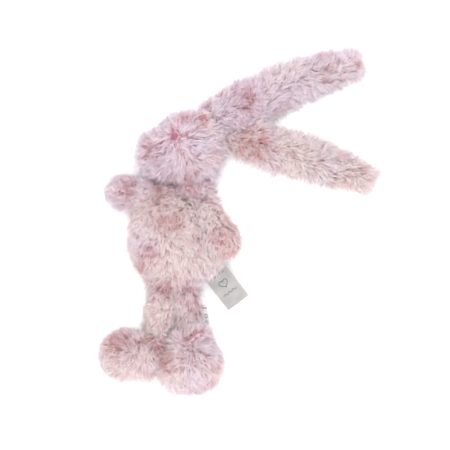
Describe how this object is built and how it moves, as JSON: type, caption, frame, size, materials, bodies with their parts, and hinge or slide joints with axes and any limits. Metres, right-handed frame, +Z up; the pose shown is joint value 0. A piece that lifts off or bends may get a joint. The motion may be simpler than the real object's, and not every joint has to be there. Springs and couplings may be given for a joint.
{
  "type": "stuffed bunny rabbit",
  "caption": "Floppy long-pile plush rabbit lying on its back: sewn pile-cloth panels over stuffing, long folding ears, hinged neck, limbs and feet, two sewn-in labels.",
  "frame": {"origin": "middle of the flat resting patch on the torso's back", "axes": "+Z up out of the belly, +Y from the hips to the neck, +X to the toy's own left"},
  "size_m": [0.2801, 0.3428, 0.066],
  "materials": {
    "plush": "shaggy long-pile plush",
    "wadding": "polyester wadding",
    "thread": "twisted sewing thread",
    "nose_thread": "satin stitch embroidery",
    "eye_thread": "satin stitch embroidery",
    "ribbon": "woven satin ribbon",
    "label_tape": "printed nylon tape"
  },
  "bodies": {
    "torso": {"torso_front_left": "plush", "torso_front_right": "plush", "torso_back": "plush", "torso_stuffing": "wadding", "closing_stitches": "thread"},
    "head": {"head_crown_gusset": "plush", "head_side_left": "plush", "head_side_right": "plush", "head_stuffing": "wadding", "neck_collar": "plush", "neck_stuffing": "wadding", "muzzle_panel": "plush", "muzzle_stuffing": "wadding", "nose_embroidery": "nose_thread", "eye_left_embroidery": "eye_thread", "eye_right_embroidery": "eye_thread"},
    "ear_left_base": {"ear_left_base_front": "plush", "ear_left_base_back": "plush"},
    "ear_left_tip": {"ear_left_tip_front": "plush", "ear_left_tip_back": "plush"},
    "ear_right_base": {"ear_right_base_front": "plush", "ear_right_base_back": "plush"},
    "ear_right_tip": {"ear_right_tip_front": "plush", "ear_right_tip_back": "plush"},
    "arm_left": {"arm_left_outer": "plush", "arm_left_inner": "plush", "arm_left_stuffing": "wadding"},
    "arm_right": {"arm_right_outer": "plush", "arm_right_inner": "plush", "arm_right_stuffing": "wadding"},
    "leg_left": {"leg_left_front": "plush", "leg_left_back": "plush", "leg_left_stuffing": "wadding"},
    "leg_right": {"leg_right_front": "plush", "leg_right_back": "plush", "leg_right_stuffing": "wadding"},
    "foot_left": {"foot_left_upper": "plush", "foot_left_sole": "plush", "foot_left_stuffing": "wadding"},
    "foot_right": {"foot_right_upper": "plush", "foot_right_sole": "plush", "foot_right_stuffing": "wadding"},
    "brand_label": {"brand_label": "ribbon"},
    "care_label": {"care_label": "label_tape"}
  },
  "joints": [
    {"name": "neck_nod", "type": "hinge", "parent": "torso", "child": "head", "pos_m": [0.01222, 0.04893, 0.03], "axis": [1, 0, 0], "range_deg": [-15, 20]},
    {"name": "ear_left_root", "type": "hinge", "parent": "head", "child": "ear_left_base", "pos_m": [0.05019, 0.09608, 0.01966], "axis": [-0.1822, -0.9833, 0], "range_deg": [-45, 50]},
    {"name": "ear_left_fold", "type": "hinge", "parent": "ear_left_base", "child": "ear_left_tip", "pos_m": [0.12723, 0.08181, 0.0095], "axis": [-0.1822, -0.9833, 0], "range_deg": [-60, 35]},
    {"name": "ear_right_root", "type": "hinge", "parent": "head", "child": "ear_right_base", "pos_m": [0.04028, 0.11755, 0.02386], "axis": [0.4462, -0.8949, 0], "range_deg": [-45, 50]},
    {"name": "ear_right_fold", "type": "hinge", "parent": "ear_right_base", "child": "ear_right_tip", "pos_m": [0.1098, 0.15221, 0.0095], "axis": [0.4462, -0.8949, 0], "range_deg": [-60, 35]},
    {"name": "shoulder_left", "type": "hinge", "parent": "torso", "child": "arm_left", "pos_m": [0.03319, 0.02806, 0.04022], "axis": [-0.8387, -0.5446, 0], "range_deg": [0, 80]},
    {"name": "shoulder_right", "type": "hinge", "parent": "torso", "child": "arm_right", "pos_m": [-0.03332, 0.03996, 0.02374], "axis": [0.2079, 0.9781, 0], "range_deg": [-30, 50]},
    {"name": "hip_left", "type": "hinge", "parent": "torso", "child": "leg_left", "pos_m": [0.00826, -0.05018, 0.01772], "axis": [-1, 0, 0], "range_deg": [-20, 45]},
    {"name": "hip_right", "type": "hinge", "parent": "torso", "child": "leg_right", "pos_m": [-0.01569, -0.04969, 0.01752], "axis": [-1, 0, 0], "range_deg": [-20, 45]},
    {"name": "ankle_left", "type": "hinge", "parent": "leg_left", "child": "foot_left", "pos_m": [0.01394, -0.09642, 0.0115], "axis": [1, 0, 0], "range_deg": [-20, 15]},
    {"name": "ankle_right", "type": "hinge", "parent": "leg_right", "child": "foot_right", "pos_m": [-0.02218, -0.09585, 0.0115], "axis": [0, 0, 1], "range_deg": [-20, 6]},
    {"name": "brand_label_flap", "type": "hinge", "parent": "torso", "child": "brand_label", "pos_m": [0.03241, -0.02844, 0.02063], "axis": [-0.7986, -0.6018, 0], "range_deg": [-6, 34]},
    {"name": "care_label_flap", "type": "hinge", "parent": "leg_left", "child": "care_label", "pos_m": [0.0232, -0.07745, 0.01386], "axis": [0.1219, -0.9925, 0], "range_deg": [-18, 16]}
  ]
}
